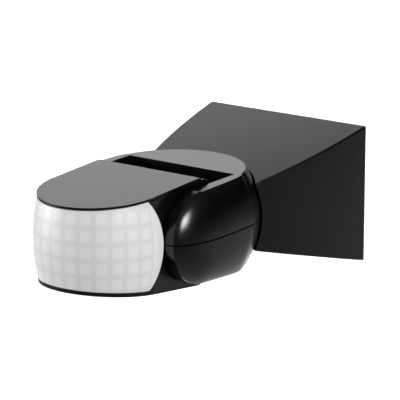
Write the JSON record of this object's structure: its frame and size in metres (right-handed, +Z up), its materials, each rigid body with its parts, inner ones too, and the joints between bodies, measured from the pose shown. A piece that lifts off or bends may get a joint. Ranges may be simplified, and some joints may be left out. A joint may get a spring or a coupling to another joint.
{
  "type": "motion sensor",
  "caption": "Wall-mounted passive infrared motion sensor: wedge-shaped head with a milky barrel lens tilts in a fork that swivels in a flared wall bracket.",
  "frame": {"origin": "centre of the wall plate's rear face, on the mid-plane of the sensor", "axes": "+Y into the wall, +Z up, +X to the right seen from the front; the lens looks along -Y"},
  "size_m": [0.082, 0.1483, 0.0584],
  "materials": {
    "abs_black": "satin moulded ABS",
    "lens_white": "milky polyethylene",
    "plate_black": "fine matt ABS",
    "white_plastic": "satin moulded nylon",
    "steel": "zinc plated",
    "brass": "plain",
    "rubber": "matt",
    "circuit_board": "solder mask",
    "relay_case": "moulded",
    "capacitor_sleeve": "shrink sleeve",
    "capacitor_resin": "dipped resin",
    "led_red": "tinted epoxy",
    "photocell_face": "sensitive track",
    "trimmer_blue": "moulded"
  },
  "bodies": {
    "bracket": {"bracket_housing": "abs_black", "back_plate": "plate_black", "cable_grommet": "rubber", "terminal_block": "white_plastic", "terminal_screw_1": "steel", "terminal_screw_2": "steel", "terminal_screw_3": "steel", "terminal_screw_4": "steel", "earth_clamp": "brass", "earth_screw": "steel", "cord_clamp": "white_plastic", "clamp_screw_left": "steel", "clamp_screw_right": "steel", "housing_screw_left": "steel", "housing_screw_right": "steel", "swivel_shoe": "white_plastic", "shoe_screw_left": "steel", "shoe_screw_right": "steel"},
    "fork": {"yoke_upper_shell": "abs_black", "yoke_lower_shell": "abs_black", "yoke_screw_left": "steel", "yoke_screw_right": "steel", "tilt_pivot_left": "steel", "tilt_pivot_right": "steel", "tilt_nut_left": "brass", "tilt_nut_right": "brass", "tilt_washer_left": "rubber", "tilt_washer_right": "rubber"},
    "head": {"head_body": "abs_black", "head_lid": "abs_black", "fresnel_lens": "lens_white", "pir_holder": "white_plastic", "board_connector": "white_plastic", "pir_sensor_left": "steel", "pir_sensor_centre": "steel", "pir_sensor_right": "steel", "head_screw_1": "steel", "head_screw_2": "steel", "head_screw_3": "steel", "head_screw_4": "steel", "control_board": "circuit_board", "relay": "relay_case", "main_capacitor": "capacitor_sleeve", "film_capacitor": "capacitor_resin", "indicator_led": "led_red", "photocell": "photocell_face", "potentiometer_lux": "trimmer_blue", "potentiometer_time": "trimmer_blue", "potentiometer_range": "trimmer_blue"},
    "lux_knob": {"knob_lux": "white_plastic"},
    "time_knob": {"knob_time": "white_plastic"},
    "range_knob": {"knob_range": "white_plastic"}
  },
  "joints": [
    {"name": "fork_swivel", "type": "hinge", "parent": "bracket", "child": "fork", "pos_m": [0, -0.07909, 0], "axis": [0, 0, 1], "range_deg": [-20, 20]},
    {"name": "head_tilt", "type": "hinge", "parent": "fork", "child": "head", "pos_m": [0, -0.0975, 0], "axis": [1, 0, 0], "range_deg": [-30, 45]},
    {"name": "lux_turn", "type": "hinge", "parent": "head", "child": "lux_knob", "pos_m": [-0.013, -0.108, -0.018], "axis": [0, 0, 1], "range_deg": [-135, 135]},
    {"name": "time_turn", "type": "hinge", "parent": "head", "child": "time_knob", "pos_m": [0, -0.108, -0.018], "axis": [0, 0, 1], "range_deg": [-135, 135]},
    {"name": "range_turn", "type": "hinge", "parent": "head", "child": "range_knob", "pos_m": [0.013, -0.108, -0.018], "axis": [0, 0, 1], "range_deg": [-135, 135]}
  ]
}
